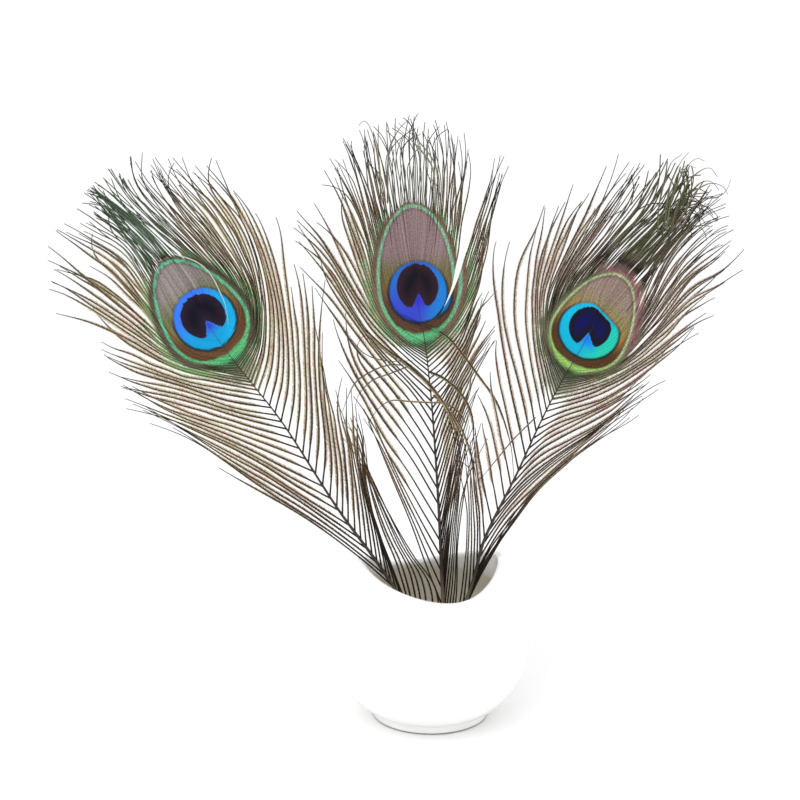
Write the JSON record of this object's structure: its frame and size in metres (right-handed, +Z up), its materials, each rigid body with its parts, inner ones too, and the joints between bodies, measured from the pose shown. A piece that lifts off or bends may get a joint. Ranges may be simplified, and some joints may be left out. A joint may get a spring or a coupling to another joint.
{
  "type": "peacock feathers in a vase",
  "caption": "Peacock eye feathers fanned out in a round white glazed vase with a wavy mouth, standing on its flat foot.",
  "frame": {"origin": "centre of the vase's flat foot, on the surface it stands on", "axes": "+Z up; the feathers' faces look towards -Y; +X to the right seen from the front, along the fan's longest extent"},
  "size_m": [0.3181, 0.092, 0.2811],
  "materials": {
    "vase_glaze": "gloss",
    "quill": "satin",
    "barbs": "satin"
  },
  "bodies": {
    "root": {"vase": "vase_glaze", "left_feather_shaft": "quill", "left_feather_left_vane": "barbs", "left_feather_right_vane": "barbs", "middle_feather_shaft": "quill", "middle_feather_left_vane": "barbs", "middle_feather_right_vane": "barbs", "right_feather_shaft": "quill", "right_feather_left_vane": "barbs", "right_feather_right_vane": "barbs"}
  },
  "joints": []
}
